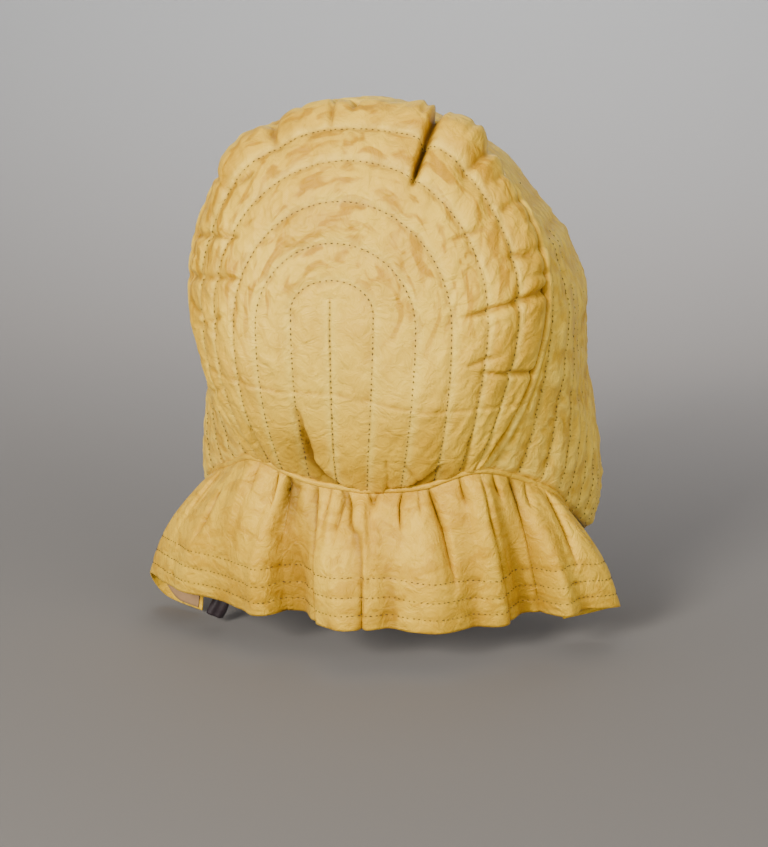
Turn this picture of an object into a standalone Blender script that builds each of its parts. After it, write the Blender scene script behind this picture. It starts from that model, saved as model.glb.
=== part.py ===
"""Quilted silk hood with a domed crown, a deep headpiece and a gathered neck curtain.

Metres, +Z up. The wearer faces -Y, and the origin is where the top of the head meets the hood.
Tables and sizes are in millimetres times MM. Left and right are the wearer's: left is +X.
"""

import math

import bmesh
import bpy
import numpy as np

MM = 0.001

# Wall thickness of the quilt at a line of stitches and at the top of a padded channel
QUILT_SEWN = 2.4 * MM
QUILT_PADDED = 6.4 * MM
CURTAIN_CLOTH = 1.2 * MM
LINING_CLOTH = 1.0 * MM
PIECE_GAP = 0.35 * MM
LINING_GAP = 0.7 * MM

# The seam between crown and headpiece lies in one upright plane
RIM_Y = 45 * MM
FRONT_Y = -115 * MM

# Arches of crown stitching, from the centre line out to the rim
# half width, centre x, top z, spring z, left foot x, right foot x, depth behind the rim plane
ARCHES = MM * np.array(
    (
        (0.0, 9, -97, -97, 14, 14, 44),
        (23.0, 8, -87, -105, 31, -3, 44),
        (44.5, 6.5, -67, -113, 46, -22, 43),
        (60.5, 3.5, -45, -113, 54, -41, 39),
        (76.0, 1, -24, -108, 60, -54, 31),
        (90.0, 0, -8, -102, 63, -61, 19),
        (102.5, 0, 4.5, -98, 64, -64, 4),
    )
)
# The crown's edge turns forward over this length, to the seam with the headpiece
RIM_TURN = 4 * MM
# The crown is pieced from two parts, and this seam crosses the arches
# x, z
PIECING_SEAM = MM * np.array(((110, -128), (83, -141), (40, -150), (9, -150), (-40, -158), (-110, -158)))
CROWN_FOOT_ROUNDING = 2.5

# Lower edge of the quilt from the nape to the front corner
# x, y, z
NECK_LEFT = MM * np.array(
    ((0, 52, -213), (33, 50, -206), (65, 45, -198), (89, 15, -210), (106, -8, -221), (116, -30, -236))
    + ((120, -70, -256), (114, -115, -275))
)
NECK_RIGHT = MM * np.array(
    ((0, 52, -213), (-33, 50, -207), (-65, 45, -199), (-89, 15, -211), (-103, -5, -223), (-108, -30, -239))
    + ((-115, -70, -259), (-112, -115, -275))
)

# Upright sections of the headpiece from the rim to the front edge
# y, top z, half width, spring z, belly
HEAD_SECTIONS = MM * np.array(
    (
        (45, 4.5, 102.5, -98, 0),
        (15, 5, 105, -102, 3),
        (-20, 3, 105, -109, 8),
        (-65, -1, 103.5, -115, 12),
        (-115, -5, 100, -120, 14),
    )
)
# Makes the belly's curve 1 at its fullest, a third of the way up
BELLY_SHAPE = 27 / 4

# Hem of the curtain, with the place on the neck edge that it hangs from
# neck row, x, y, z
HEM_LEFT = MM * np.array(
    ((0.0, 0, 70, -291), (1.0, 45, 58, -292), (2.0, 90, 36, -291), (3.0, 128, 10, -291))
    + ((3.7, 152, -13, -292), (4.3, 147, -28, -301), (5.0, 120, -16, -306))
)
HEM_RIGHT = MM * np.array(
    ((0.0, 0, 70, -291), (1.0, -45, 57, -293), (2.0, -86, 34, -294), (3.0, -120, 14, -294))
    + ((3.7, -141, -10, -293), (4.3, -136, -26, -300), (5.0, -110, -16, -305))
)
# Deep folds of the curtain: ridges are positive, valleys negative
# distance along the hem from the nape (+ is left), outward, half width
CURTAIN_FOLDS = MM * np.array(
    ((130, 4, 14), (98, -3, 10), (72, 3, 12), (42, -11, 11), (8, 4, 12), (-20, -5, 8), (-46, 5, 12))
    + ((-72, -5, 9), (-100, -15, 9), (-124, 8, 10))
)
GATHER_COUNT = 22
GATHER_DEPTH = 1.2 * MM
CURTAIN_SPRING = 9 * MM
CURTAIN_END = 60 * MM
# The lining ends above the hem, at this share of the curtain's depth, and some columns short of its ends
LINING_FOOT = 0.87
LINING_COLUMNS_OFF = 1

PIPING_RADIUS = 1.5 * MM
CURTAIN_DROP = 1.5 * (PIPING_RADIUS + PIECE_GAP)
# The quilt reaches the piping at a slant, so its edge ends a little higher
QUILT_LIFT = 2.1 * (PIPING_RADIUS + PIECE_GAP)

# Crown rim gathers and the deep pleat beside the top
RIM_GATHERS = 18
RIM_GATHER_DEPTH = 1.4 * MM
PLEAT_X = -34 * MM
PLEAT_FOOT_Z = -40 * MM
PLEAT_DEPTH = 6 * MM
PLEAT_WIDTH = 6 * MM
BOX_PLEAT_X = -8 * MM
BOX_PLEAT_DEPTH = 3 * MM
BOX_PLEAT_WIDTH = 8 * MM

# Dark ribbon end that hangs inside the left end of the curtain, from this row of the left neck edge
RIBBON_ROW = 3.4
RIBBON_WIDTH = 11 * MM
RIBBON_CLOTH = 1.0 * MM
RIBBON_SEWN = 5 * MM
# x, y, z
RIBBON_FALL = MM * np.array(((93, -4, -250), (94, -6, -278), (97, -7, -298), (104, -8, -305)))

# Facets
CHANNEL_ROWS = 2
CAP_COLUMNS = 34
LEG_COLUMNS = 4
BASE_ROWS = 6
HEAD_CHANNELS = 8
HEAD_COLUMNS = 46
CURTAIN_COLUMNS = 88
CURTAIN_ROWS = 6
PIPING_POINTS = 38

# base colour, roughness
SILK = ((0.60, 0.43, 0.16), 0.5)
SILK_DEEP = ((0.56, 0.39, 0.14), 0.5)
LINING_TAN = ((0.40, 0.25, 0.12), 0.8)
RIBBON_PURPLE = ((0.05, 0.02, 0.03), 0.6)


def smooth(rows, at):
    """The table at fractional row numbers, on a smooth curve through every row."""
    rows = np.asarray(rows, float)
    padded = np.concatenate([2 * rows[:1] - rows[1:2], rows, 2 * rows[-1:] - rows[-2:-1]])
    at = np.clip(np.asarray(at, float), 0, len(rows) - 1)
    i = np.minimum(at.astype(int), len(rows) - 2)
    t = (at - i)[..., None] if rows.ndim > 1 else at - i
    a, b, c, d = (padded[i + k] for k in range(4))
    return b + 0.5 * t * (c - a + t * (2 * a - 5 * b + 4 * c - d + t * (3 * (b - c) + d - a)))


def evenly(points, count):
    """Points at equal steps along a line of points."""
    steps = np.linalg.norm(np.diff(points, axis=0), axis=1)
    along = np.concatenate([[0], np.cumsum(steps)])
    at = np.linspace(0, along[-1], count)
    return np.stack([np.interp(at, along, points[:, k]) for k in range(points.shape[1])], axis=1)


def bump(distance, width):
    """1 in the middle, falling smoothly to 0 beyond the width."""
    return np.exp(-((distance / width) ** 2))


def ease(t):
    t = np.clip(t, 0, 1)
    return t * t * (3 - 2 * t)


def neck_at(x):
    """y and z of the neck edge behind the rim plane, for an x between the two notches."""
    line = np.concatenate([NECK_RIGHT[2:0:-1], NECK_LEFT[:3]])
    at = np.interp(x, line[:, 0], np.arange(len(line)))
    return smooth(line, at)[..., 1:]


def crown_point(arch, side, height):
    """A point on the straight part of an arch. Height is 0 at the neck edge and 1 at the spring."""
    half, centre, _, spring, left, right, depth = smooth(ARCHES, arch)
    foot = left if side > 0 else right
    foot_y, foot_z = neck_at(foot)
    foot_z += QUILT_LIFT
    inward = 1 - (1 - height) ** 2
    rise = 1 - (1 - height) ** CROWN_FOOT_ROUNDING
    x = foot + (centre + side * half - foot) * inward
    y = foot_y + (RIM_Y + depth - foot_y) * rise
    return np.array((x, max(y, RIM_Y + RIM_TURN), foot_z + (spring - foot_z) * height))


def cap_point(arch, angle):
    """A point on the round part of an arch. The angle runs from the left spring over the top."""
    half, centre, top, spring, _, _, depth = smooth(ARCHES, arch)
    z = spring + (top - spring) * math.sin(angle)
    return np.array((centre + half * math.cos(angle), RIM_Y + depth, z))


def seam_height(arch, side):
    """The height on an arch's straight part at which the piecing seam crosses it."""
    heights = np.linspace(0, 1, 60)
    points = np.array([crown_point(arch, side, h) for h in heights])
    seam_z = np.interp(points[:, 0], PIECING_SEAM[::-1, 0], PIECING_SEAM[::-1, 1])
    return heights[int(np.argmin(abs(points[:, 2] - seam_z)))]


def crown_dents(point, arch, angle):
    """Gathers along the rim, the deep pleat beside the top and the box pleat at the nape."""
    x, y, z = point
    near_rim = ease((arch - 4) / 1.6) * ease((len(ARCHES) - 1 - arch) * 2)
    y += RIM_GATHER_DEPTH * near_rim * math.cos(RIM_GATHERS * angle)
    below_rim = ease((z - PLEAT_FOOT_Z) / -PLEAT_FOOT_Z) * ease((len(ARCHES) - 1 - arch) * 1.5)
    y -= PLEAT_DEPTH * below_rim * bump(x - PLEAT_X, PLEAT_WIDTH)
    at_nape = ease((-170 * MM - z) / (25 * MM)) * ease((z + 208 * MM) / (6 * MM))
    y -= BOX_PLEAT_DEPTH * at_nape * bump(x - BOX_PLEAT_X, BOX_PLEAT_WIDTH)
    return np.array((x, y, z))


def at_rim(points):
    """The outermost arch again, moved forward to the seam with the headpiece."""
    edge = np.array(points)
    edge[:, 1] = RIM_Y + PIECE_GAP
    return edge


def padding(channel):
    """0 on a line of stitches and 1 in the middle of a channel."""
    return abs(math.sin(math.pi * channel))


def crown_panel_grid():
    rows, pads = [], []
    last = len(ARCHES) - 1
    for arch in np.linspace(0, last, last * CHANNEL_ROWS + 1):
        row = []
        for side in (1, -1):
            low = seam_height(arch, side)
            legs = [crown_point(arch, side, h) for h in np.linspace(low, 1, LEG_COLUMNS + 1)[:-1]]
            row.append([crown_dents(p, arch, 0) for p in legs])
        angles = np.linspace(0, math.pi, CAP_COLUMNS + 1)
        cap = [crown_dents(cap_point(arch, a), arch, a) for a in angles]
        rows.append(np.array(row[0] + cap + row[1][::-1]))
        pads.append([padding(arch)] * len(rows[-1]))
    rows.append(at_rim(rows[-1]))
    pads.append(pads[-1])
    return np.array(rows), np.array(pads)


def crown_base_grid():
    last = len(ARCHES) - 1
    arches = np.linspace(0, last, last * CHANNEL_ROWS + 1)
    columns = [(arch, 1) for arch in arches[::-1]] + [(arch, -1) for arch in arches[1:]]
    rows, pads = [], []
    for part in np.linspace(1, 0, BASE_ROWS + 1):
        points = []
        for arch, side in columns:
            point = crown_point(arch, side, seam_height(arch, side) * part)
            points.append(crown_dents(point, min(arch, 4), 0))
        edges = at_rim([points[0], points[-1]])
        rows.append([edges[0], *points, edges[1]])
        pads.append([0, *(padding(arch) * ease(part * 4) for arch, _ in columns), 0])
    rows = np.array(rows)
    rows[0, :, 2] -= 2 * PIECE_GAP
    return rows, np.array(pads)


def head_section(y):
    """Points of the headpiece's section at y, from the left end over the top to the right one."""
    at = np.interp(-y, -HEAD_SECTIONS[:, 0], np.arange(len(HEAD_SECTIONS)))
    _, top, half, spring, belly = smooth(HEAD_SECTIONS, at)
    legs = []
    for neck, side in ((NECK_LEFT[2:], 1), (NECK_RIGHT[2:], -1)):
        foot_x, _, foot_z = smooth(neck, np.interp(-y, -neck[:, 1], np.arange(len(neck))))
        height = np.linspace(0, 1, 60)[:-1]
        x = foot_x + (side * half - foot_x) * (1 - (1 - height) ** 2)
        x += side * belly * BELLY_SHAPE * height * (1 - height) ** 2
        z = foot_z + QUILT_LIFT + (spring - foot_z - QUILT_LIFT) * height
        legs.append(np.stack([x, 0 * x + y, z], axis=1))
    angle = np.linspace(0, math.pi, 120)
    cap = np.stack([half * np.cos(angle), 0 * angle + y, spring + (top - spring) * np.sin(angle)], axis=1)
    return evenly(np.concatenate([legs[0], cap, legs[1][::-1]]), HEAD_COLUMNS + 1)


def head_grid():
    """Rows run from the rim to the front edge."""
    count = HEAD_CHANNELS * CHANNEL_ROWS + 1
    rows = [head_section(y) for y in np.linspace(RIM_Y - PIECE_GAP, FRONT_Y, count)]
    pads = [[padding(step / CHANNEL_ROWS)] * (HEAD_COLUMNS + 1) for step in range(count)]
    return np.array(rows), np.array(pads)


def hem_line(hem, neck):
    """Points down the hem and above them on the neck edge, from the nape to the curtain's end."""
    fine = smooth(hem, np.linspace(0, len(hem) - 1, 400))
    above = smooth(neck, np.maximum(fine[:, 0] / MM, 0))
    return np.concatenate([fine[:, 1:], above], axis=1)


def curtain_grid(inset=0.0, lowest=1.0, left_off=0):
    """Rows run from the neck edge down, and columns from the right end to the left one."""
    left = hem_line(HEM_LEFT, NECK_LEFT)
    right = hem_line(HEM_RIGHT, NECK_RIGHT)
    steps = np.linalg.norm(np.diff(left[:, :3], axis=0), axis=1)
    line = evenly(np.concatenate([right[::-1], left[1:]]), CURTAIN_COLUMNS + 1)
    hem, neck = line[:, :3], line[:, 3:]
    along = np.concatenate([[0], np.cumsum(np.linalg.norm(np.diff(hem, axis=0), axis=1))])
    along -= along[-1] - steps.sum()
    out = np.gradient(hem[:, :2], axis=0)
    out = np.stack([out[:, 1], -out[:, 0], 0 * out[:, 0]], axis=1)
    out *= -1 / np.linalg.norm(out, axis=1)[:, None]
    fold = sum(depth * bump(along - at, width) for at, depth, width in CURTAIN_FOLDS)
    ends = ease((along[-1] - along) / CURTAIN_END) * ease((along - along[0]) / CURTAIN_END)
    gather = np.cos(2 * math.pi * GATHER_COUNT * np.linspace(0, 1, len(along))) * ends
    top = neck - np.array((0, 0, CURTAIN_DROP))
    rows = []
    for part in np.linspace(0, lowest, CURTAIN_ROWS + 1):
        spring = CURTAIN_SPRING * math.sin(math.pi * part) * ends
        ripple = GATHER_DEPTH * gather * ease(part * 3) * (1 - part) ** 1.5
        move = fold * ease(part * 1.3) + spring + ripple
        rows.append(top + (hem - top) * part + out * move[:, None])
    return inside(np.array(rows), inset)[:, left_off : len(along) - left_off]


def unit(vectors):
    return vectors / np.linalg.norm(vectors, axis=-1)[..., None]


def inside(grid, inset):
    """The grid moved inwards so that its faces, and not its corners, lie that far from the first ones."""
    across, down = np.diff(grid, axis=1), np.gradient(grid, axis=0)
    before = unit(np.cross(np.concatenate([across[:, :1], across], axis=1), down))
    after = unit(np.cross(np.concatenate([across, across[:, -1:]], axis=1), down))
    outward = unit(before + after)
    corner = np.clip((outward * after).sum(axis=-1), 0.4, 1)
    return grid - outward * inset / corner[..., None]


def fabric(name, look):
    made = bpy.data.materials.new(name)
    made.use_nodes = True
    shader = made.node_tree.nodes["Principled BSDF"]
    shader.inputs["Base Color"].default_value = (*look[0], 1)
    shader.inputs["Roughness"].default_value = look[1]
    shader.inputs["Metallic"].default_value = 0
    return made


def cloth(name, points, material, thickness, pads=None, thinnest=1.0, flip=False):
    """A grid of points as an open surface with a Solidify modifier, thinner where the pads are 0."""
    rows, columns = points.shape[:2]
    grid = bmesh.new()
    bmesh.ops.create_grid(grid, x_segments=columns - 1, y_segments=rows - 1, size=1)
    for vertex, place in zip(grid.verts, points.reshape(-1, 3), strict=True):
        vertex.co = place
    if flip:
        bmesh.ops.reverse_faces(grid, faces=grid.faces)
    mesh = bpy.data.meshes.new(name)
    grid.to_mesh(mesh)
    grid.free()
    piece = bpy.data.objects.new(name, mesh)
    COLLECTION.objects.link(piece)
    mesh.materials.append(material)
    shell = piece.modifiers.new("Thickness", "SOLIDIFY")
    shell.thickness = thickness
    shell.offset = 0
    if pads is not None:
        group = piece.vertex_groups.new(name="Padding")
        for index, weight in enumerate(pads.reshape(-1)):
            group.add([index], float(weight), "REPLACE")
        shell.vertex_group = group.name
        shell.thickness_vertex_group = thinnest
    mesh.shade_smooth()
    return piece


def weld(piece):
    """Joins the two sides of the slit that the innermost arch closes to."""
    mesh = bmesh.new()
    mesh.from_mesh(piece.data)
    bmesh.ops.remove_doubles(mesh, verts=mesh.verts, dist=1e-6)
    mesh.to_mesh(piece.data)
    mesh.free()


def tube(name, points, radius, material):
    curve = bpy.data.curves.new(name, "CURVE")
    curve.dimensions = "3D"
    curve.bevel_depth = radius
    curve.bevel_resolution = 2
    curve.use_fill_caps = True
    line = curve.splines.new("POLY")
    line.points.add(len(points) - 1)
    for point, place in zip(line.points, points, strict=True):
        point.co = (*place, 1)
    piece = bpy.data.objects.new(name, curve)
    COLLECTION.objects.link(piece)
    curve.materials.append(material)
    return piece


def make_crown():
    silk = fabric("crown silk", SILK)
    thinnest = QUILT_SEWN / QUILT_PADDED
    points, pads = crown_panel_grid()
    panel = cloth("crown_panel", points, silk, QUILT_PADDED, pads, thinnest)
    weld(panel)
    points, pads = crown_base_grid()
    cloth("crown_base", points, fabric("crown base silk", SILK), QUILT_PADDED, pads, thinnest, flip=True)


def make_headpiece():
    points, pads = head_grid()
    silk = fabric("headpiece silk", SILK_DEEP)
    cloth("headpiece", points, silk, QUILT_PADDED, pads, QUILT_SEWN / QUILT_PADDED)


def make_neck_piping():
    far = HEM_LEFT[-1, 0] / MM
    rows = np.linspace(0, far, 100)
    line = np.concatenate([smooth(NECK_RIGHT, rows)[::-1], smooth(NECK_LEFT, rows)[1:]])
    tube("neck_piping", evenly(line, PIPING_POINTS), PIPING_RADIUS, fabric("piping silk", SILK))


def make_curtain():
    cloth("curtain", curtain_grid(), fabric("curtain silk", SILK), CURTAIN_CLOTH)
    inset = CURTAIN_CLOTH / 2 + LINING_GAP + LINING_CLOTH / 2
    lining = curtain_grid(inset, LINING_FOOT, LINING_COLUMNS_OFF)
    cloth("curtain_lining", lining, fabric("lining tan", LINING_TAN), LINING_CLOTH)


def make_ribbon():
    place = smooth(NECK_LEFT, RIBBON_ROW)
    across = unit(smooth(NECK_LEFT, RIBBON_ROW + 0.1) - smooth(NECK_LEFT, RIBBON_ROW - 0.1))
    inward = unit(np.array((across[1], -across[0], 0)))
    place = place + inward * (CURTAIN_CLOTH / 2 + LINING_GAP + LINING_CLOTH + PIECE_GAP + RIBBON_CLOTH / 2)
    place[2] -= CURTAIN_DROP
    route = np.array((place, place - np.array((0, 0, RIBBON_SEWN)), *RIBBON_FALL))
    line = smooth(route, np.linspace(0, len(route) - 1, 13))
    half = across * RIBBON_WIDTH / 2
    points = np.stack([line - half, line, line + half], axis=1)
    cloth("ribbon_end", points, fabric("ribbon purple", RIBBON_PURPLE), RIBBON_CLOTH)


for leftover in list(bpy.data.objects):
    bpy.data.objects.remove(leftover, do_unlink=True)
COLLECTION = bpy.data.collections.new("quilted_hood")
bpy.context.scene.collection.children.link(COLLECTION)
make_crown()
make_headpiece()
make_neck_piping()
make_curtain()
make_ribbon()
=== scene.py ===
import math

import bpy
import numpy as np
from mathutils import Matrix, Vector


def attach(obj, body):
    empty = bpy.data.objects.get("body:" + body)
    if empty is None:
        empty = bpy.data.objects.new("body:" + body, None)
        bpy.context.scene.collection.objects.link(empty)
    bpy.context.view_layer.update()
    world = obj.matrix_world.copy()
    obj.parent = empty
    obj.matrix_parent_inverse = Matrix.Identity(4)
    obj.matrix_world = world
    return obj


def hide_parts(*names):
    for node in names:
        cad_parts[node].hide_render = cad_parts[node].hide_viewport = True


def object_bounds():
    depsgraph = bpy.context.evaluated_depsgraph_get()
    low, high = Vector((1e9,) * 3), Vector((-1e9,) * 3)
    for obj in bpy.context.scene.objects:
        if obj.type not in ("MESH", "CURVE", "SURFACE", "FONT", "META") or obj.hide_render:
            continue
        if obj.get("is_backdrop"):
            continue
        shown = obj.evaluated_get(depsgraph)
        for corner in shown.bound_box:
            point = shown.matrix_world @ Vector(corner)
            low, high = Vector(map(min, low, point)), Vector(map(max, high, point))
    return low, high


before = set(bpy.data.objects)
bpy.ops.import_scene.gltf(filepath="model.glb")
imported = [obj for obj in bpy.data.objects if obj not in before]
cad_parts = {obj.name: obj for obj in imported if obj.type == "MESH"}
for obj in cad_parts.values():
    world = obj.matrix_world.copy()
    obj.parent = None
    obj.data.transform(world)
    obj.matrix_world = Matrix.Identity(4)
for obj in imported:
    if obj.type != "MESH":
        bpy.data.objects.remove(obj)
CAD_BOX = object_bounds()

MM = 0.001

# Sizes and tables of the hood, as its solids have them. Only the cloths are thinner here, the piping is
# thicker, and the neck edge, curtain and ribbon lie a few millimetres away, to follow the photo
RIM_Y = 45 * MM
FRONT_Y = -115 * MM
QUILT_THICK = 4.4 * MM
# How far out of the quilt's middle surface its stitches lie
SEWN_DEPTH = 0.9 * MM

# Arches of crown stitching, from the centre line out to the rim
# half width, centre x, top z, spring z, left foot x, right foot x, depth behind the rim plane
ARCHES = MM * np.array((
    (0.0, 9, -97, -97, 14, 14, 44),
    (23.0, 8, -87, -105, 31, -3, 44),
    (44.5, 6.5, -67, -113, 46, -22, 43),
    (60.5, 3.5, -45, -113, 54, -41, 39),
    (76.0, 1, -24, -108, 60, -54, 31),
    (90.0, 0, -8, -102, 63, -61, 19),
    (102.5, 0, 4.5, -98, 64, -64, 4),
))
RIM_ARCH = len(ARCHES) - 1
RIM_CENTRE_Z = -98 * MM
RIM_RADIUS = 100 * MM
# The crown is pieced from two parts, and this seam crosses the arches
# x, z
PIECING_SEAM = MM * np.array(((110, -128), (83, -141), (40, -150), (9, -150), (-40, -158), (-110, -158)))
CROWN_FOOT_ROUNDING = 2.5

# Lower edge of the quilt from the nape to the front corner
# x, y, z
NECK_LEFT = MM * np.array(
    ((0, 52, -213), (33, 50, -209), (65, 45, -198.5), (89, 15, -210), (106, -8, -221), (116, -30, -236))
    + ((120, -70, -256), (114, -115, -275))
)
NECK_RIGHT = MM * np.array(
    ((0, 52, -213), (-33, 50, -210), (-65, 45, -199.5), (-89, 15, -211), (-103, -5, -223), (-108, -30, -239))
    + ((-115, -70, -259), (-112, -115, -275))
)

# Upright sections of the headpiece from the rim to the front edge
# y, top z, half width, spring z, belly
HEAD_SECTIONS = MM * np.array((
    (45, 4.5, 102.5, -98, 0),
    (15, 5, 105, -102, 3),
    (-20, 3, 105, -109, 8),
    (-65, -1, 103.5, -115, 12),
    (-115, -5, 100, -120, 14),
))
# height * (1 - height) ** 2 times this is 1 at its highest
BELLY_SHAPE = 27 / 4

# Hem of the curtain, with the place on the neck edge that it hangs from
# neck row, x, y, z
HEM_LEFT = MM * np.array(
    ((0.0, 0, 70, -291), (1.0, 45, 58, -292), (2.0, 90, 36, -291), (3.0, 128, 10, -291))
    + ((3.7, 153, -15, -292), (4.3, 149, -30, -311), (5.0, 121, -18, -316))
)
HEM_RIGHT = MM * np.array(
    ((0.0, 0, 70, -291), (1.0, -45, 57, -293), (2.0, -86, 34, -294), (3.0, -120, 12, -290))
    + ((3.7, -141, -10, -293), (4.3, -136, -26, -300), (5.0, -110, -16, -305))
)
# distance along the hem from the nape (+ is left), outward, half width
CURTAIN_FOLDS = MM * np.array(
    ((130, 4, 14), (98, -3, 10), (66, 6, 9), (45, -15, 12), (8, 6, 11), (-20, -5, 8), (-46, 5, 12))
    + ((-72, -6, 9), (-107, -16, 11.5), (-126, 7, 9))
)
CURTAIN_SPRING = 9 * MM
CURTAIN_END = 60 * MM
CURTAIN_CLOTH = 0.9 * MM
LINING_CLOTH = 0.6 * MM
PIPING_RADIUS = 1.8 * MM
PIPING_OUT = 1.0 * MM
# Share of the drop that the lining reaches, and where it comes nearly to the hem at the turned-in left end
LINING_FOOT, LINING_END_FOOT = 0.87, 0.985
LINING_END_START, LINING_END_REACH = 188 * MM, 32 * MM
# Ribbon: row of the neck edge that it hangs from, sizes, and the points that it falls through
RIBBON_ROW = 3.4
RIBBON_WIDTH = 11 * MM
RIBBON_CLOTH = 0.5 * MM
RIBBON_INSET = 3.2 * MM
RIBBON_TOP = 3 * MM
RIBBON_TWIST = 1.2
RIBBON_FALL = MM * np.array(((93, -4, -250), (95, -3, -278), (101, 2, -300), (106, 2, -312)))

# Creases in the crown
# x, z, end x, end z, depth, half width
CROWN_CREASES = MM * np.array((
    (-104, -95, -60, -107, 3.6, 2.4),
    (-96, -76, -84, -74, 2.0, 2.4),
    (-95, -141, -70, -137, 2.6, 1.8),
    (98, -68, 58, -66, 2.4, 2.2),
    (100, -91, 57, -88, 2.2, 2.2),
    (98, -108, 74, -122, 1.8, 1.8),
    (90, -118, 66, -108, 1.6, 1.8),
    (-43, 6, -33, -39, 11.0, 2.7),
    (26, -188, 32, -158, 3.0, 2.6),
    (-15, -212, -19, -186, 1.8, 1.3),
    (-34, -206, -27, -190, 1.2, 1.6),
    (52, -200, 62, -170, 1.6, 1.8),
    (-58, -198, -66, -172, 1.8, 2.0),
    (-80, -128, -60, -134, 1.6, 1.6),
    (66, -40, 50, -30, 1.4, 1.8),
    (-70, -60, -52, -66, 1.6, 1.8),
    (90, -160, 72, -150, 1.6, 1.8),
))
# Lower edge of the crown's quilting, which overlaps a narrow band along the neck
# x, z, depth
CROWN_EDGE = MM * np.array(
    ((27, -172, 0.8), (26.5, -183, 3.4), (25, -191, 5.0), (22, -196, 5.0), (19, -201, 4.4), (15, -206, 3.4))
    + ((8, -210, 2.2), (1, -211, 1.8), (0.5, -214, 1.4), (-13, -214, 2.0), (-14, -210.5, 2.8))
    + ((-24, -209, 3.0), (-28, -207, 3.2), (-34, -204, 3.2), (-38, -200, 3.0), (-44, -195, 2.4))
    + ((-50, -189, 0.8),)
)
EDGE_REACH = 9 * MM
# Gathers round the crown's rim
# angle on the arch from the left, depth, half width, reach inward in channels
RIM_NOTCHES = np.array((
    (3, 2.0, 2.6, 1.1),
    (11, 1.2, 1.8, 0.7),
    (17, 1.0, 2.0, 0.8),
    (27, 1.4, 2.4, 1.0),
    (37, 1.8, 2.0, 0.8),
    (49, 1.6, 3.0, 1.2),
    (61, 4.8, 3.0, 1.0),
    (71, 1.4, 2.2, 0.7),
    (81.5, 3.2, 1.5, 1.3),
    (88, 4.2, 1.8, 0.5),
    (99, 1.0, 2.4, 0.7),
    (109.5, 3.2, 1.8, 0.6),
    (117, 1.4, 2.0, 0.9),
    (124, 1.8, 1.6, 0.6),
    (132, 4.6, 2.6, 1.3),
    (140, 1.6, 2.2, 0.7),
    (149, 1.8, 2.2, 1.2),
    (156, 1.2, 2.0, 0.8),
    (165, 1.6, 2.8, 1.1),
    (173, 1.6, 1.8, 0.8),
))
RIM_LUMP = 1.2 * MM
# How far the crown's rim stands out
# angle on the arch from the left, outward
CROWN_FIT = np.array(
    ((-40, 0), (-15, -1.5), (0, -2.6), (20, -2.6), (30, -1.5), (37, 1.5), (43, 5.5), (50, 7.5), (56, 4.5))
    + ((62, 2.0), (70, 4.2), (80, 3.6), (86, 1.5), (101, 2.5), (110, 8), (117, 8), (125, 9.5), (131, 4.5))
    + ((140, 1), (150, -0.5), (180, 0))
)
# How far the headpiece stands out
# angle on the arch from the left, outward at the crown's rim, outward forward of it
HEAD_FIT = np.array(
    ((-75, 0, 0), (-50, -2, -2), (-25, -2, -3), (-5, 0, 0), (44, 0, 0), (54, 3, 3), (64, 1, 1), (80, 1.5, 2))
    + ((94, 0, 0), (104, -2, -4), (118, -3, -6), (135, -2, -6), (150, -0.5, -6.5), (160, 0, -3))
    + ((168, 1, 1.5), (190, 1, 8), (205, 0.5, 6), (220, 0, 2), (245, 0, 0.5))
)
# Folds and gathers that fall from the neck of the curtain
# distance along the hem and share of the drop at three places, depth, half widths on the left and the right
CURTAIN_GROOVES = np.array((
    (124, 0.22, 124, 0.45, 130, 0.64, 3.2, 5, 2),
    (152, 0.05, 150, 0.2, 150, 0.4, 2.0, 2, 4),
    (113, 0.0, 106, 0.06, 98, 0.16, 2.6, 3, 1.5),
    (90, 0.0, 89, 0.1, 87, 0.24, 1.8, 2, 2),
    (73, 0.0, 70, 0.08, 66, 0.26, 5.0, 2.0, 1.2),
    (64, 0.0, 60, 0.3, 57, 1.0, 8.6, 1.1, 12),
    (36, 0.02, 31, 0.3, 28, 1.0, 3.6, 7, 1.3),
    (25, 0.0, 24, 0.12, 26, 0.3, 2.6, 1.3, 1.3),
    (17, 0.0, 14, 0.12, 15, 0.36, 3.8, 1.2, 2),
    (12, 0.0, 0, 0.3, -4, 1.0, 4.4, 6, 1.3),
    (-4, 0.0, -7, 0.06, -10, 0.14, 4.4, 1.3, 1.6),
    (-15, 0.0, -12, 0.06, -10, 0.14, 3.8, 1.6, 1.3),
    (-34, 0.0, -30, 0.12, -29, 0.3, 4.8, 1.6, 1.3),
    (-46, 0.0, -45, 0.08, -44, 0.2, 2.8, 1.6, 1.6),
    (-54, 0.0, -60, 0.3, -61, 0.72, 5.2, 5, 1.5),
    (-79, 0.0, -80, 0.08, -81, 0.22, 4.6, 1.5, 1.4),
    (-96, 0.0, -93, 0.3, -95, 1.0, 3.6, 1.5, 6),
    (-106, 0.0, -106, 0.08, -107, 0.2, 4.0, 1.5, 1.5),
    (-119, 0.0, -118, 0.3, -117, 1.0, 5.8, 3.5, 5),
    (-134, 0.0, -129, 0.1, -126, 0.24, 3.4, 1.8, 2),
    (-157, 0.08, -151, 0.3, -144, 0.66, 4.2, 5, 1.8),
    (-176, 0.1, -172, 0.3, -168, 0.6, 2.0, 4, 2),
))

# Relief of the quilt: height of the channels, its growth towards the rim, and heights of the puckers in mm
PUFF_SHAPE = 0.8
CROWN_PUFF, CROWN_RIM_PUFF = 1.1, 0.8
CROWN_PUCKER, CROWN_RIM_PUCKER = 0.7, 0.3
HEAD_PUFF, HEAD_PUCKER = 1.6, 0.95
FINE_PUCKER, BROAD_PUCKER, CRISP_PUCKER = 5.5 * MM, 11 * MM, 8 * MM
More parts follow.
